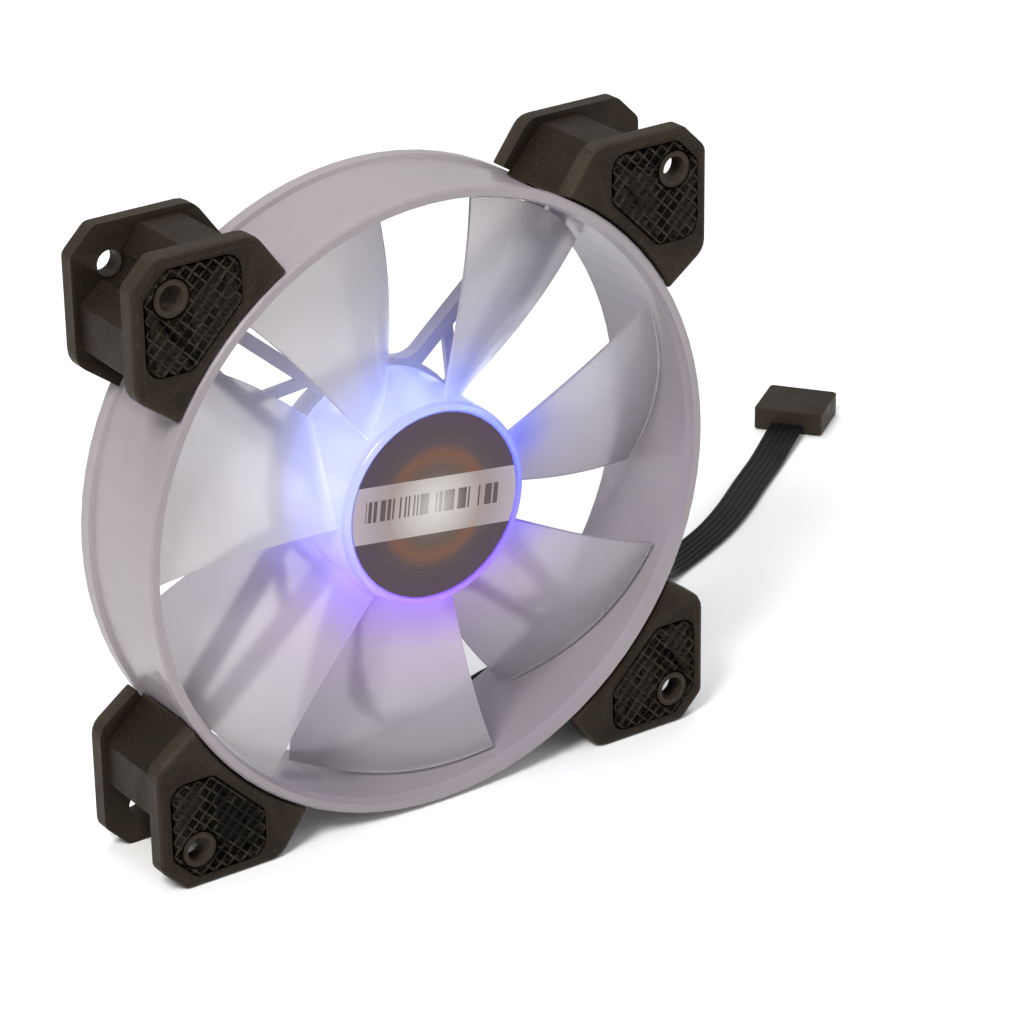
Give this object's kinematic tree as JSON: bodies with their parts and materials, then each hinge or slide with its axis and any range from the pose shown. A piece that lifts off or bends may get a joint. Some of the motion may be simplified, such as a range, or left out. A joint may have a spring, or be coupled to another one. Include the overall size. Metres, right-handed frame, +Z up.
{
  "type": "case fan",
  "caption": "Square 120 mm axial computer case fan with a translucent ring frame and lit impeller, black corner blocks with anti-vibration pads and a flat ribbon lead.",
  "frame": {"origin": "middle of the base, under the shaft, on the surface the lower corner blocks stand on", "axes": "+Z up, -Y the intake side with the hub label, +Y the exhaust side with the struts, +X to the right seen from the intake side"},
  "size_m": [0.2329, 0.1098, 0.12],
  "materials": {
    "clear_plastic": "milky translucent polycarbonate, smooth",
    "black_shell": "fine-grained moulded plastic",
    "black_rubber": "soft rubber with a raised diamond pattern",
    "frosted_plastic": "milky translucent plastic, lit from inside",
    "label_film": "printed film with plain bars",
    "steel": "zinc-plated and ground steel",
    "ferrite": "plastic-bonded ferrite",
    "brass": "turned brass",
    "sintered_bronze": "oil-filled sintered bronze",
    "enamelled_copper": "enamelled copper winding",
    "white_nylon": "moulded nylon",
    "board": "white solder mask",
    "chip_epoxy": "moulded epoxy",
    "led_lens": "clear silicone over phosphor",
    "wire_insulation": "soft black insulation"
  },
  "bodies": {
    "stator": {"frame": "clear_plastic", "corner_block_upper_left": "black_shell", "front_pad_upper_left": "black_rubber", "rear_pad_upper_left": "black_rubber", "corner_block_upper_right": "black_shell", "front_pad_upper_right": "black_rubber", "rear_pad_upper_right": "black_rubber", "corner_block_lower_left": "black_shell", "front_pad_lower_left": "black_rubber", "rear_pad_lower_left": "black_rubber", "corner_block_lower_right": "black_shell", "front_pad_lower_right": "black_rubber", "rear_pad_lower_right": "black_rubber", "rear_label": "label_film", "stator_core": "steel", "stator_pin_1": "steel", "stator_pin_2": "steel", "stator_pin_3": "steel", "stator_pin_4": "steel", "sleeve_bearing": "sintered_bronze", "oil_washer": "white_nylon", "thrust_pad": "white_nylon", "stator_insulator_front": "white_nylon", "stator_insulator_rear": "white_nylon", "coil_right": "enamelled_copper", "coil_top": "enamelled_copper", "coil_left": "enamelled_copper", "coil_bottom": "enamelled_copper", "driver_board": "board", "led_1": "led_lens", "led_2": "led_lens", "led_3": "led_lens", "led_4": "led_lens", "led_5": "led_lens", "led_6": "led_lens", "capacitor": "led_lens", "driver_chip": "chip_epoxy", "hall_sensor": "chip_epoxy", "lead_in_base": "wire_insulation", "ribbon_drop": "wire_insulation", "ribbon_coil": "wire_insulation", "ribbon_run": "wire_insulation", "cable_tie": "wire_insulation", "connector_housing": "black_shell"},
    "rotor": {"impeller": "frosted_plastic", "hub_label": "label_film", "rotor_yoke": "steel", "magnet_ring": "ferrite", "shaft_bush": "brass", "shaft": "steel", "retaining_clip": "steel"}
  },
  "joints": [
    {"name": "rotor_spin", "type": "hinge", "parent": "stator", "child": "rotor", "pos_m": [0, 0, 0.06], "axis": [0, 1, 0], "continuous": true}
  ]
}
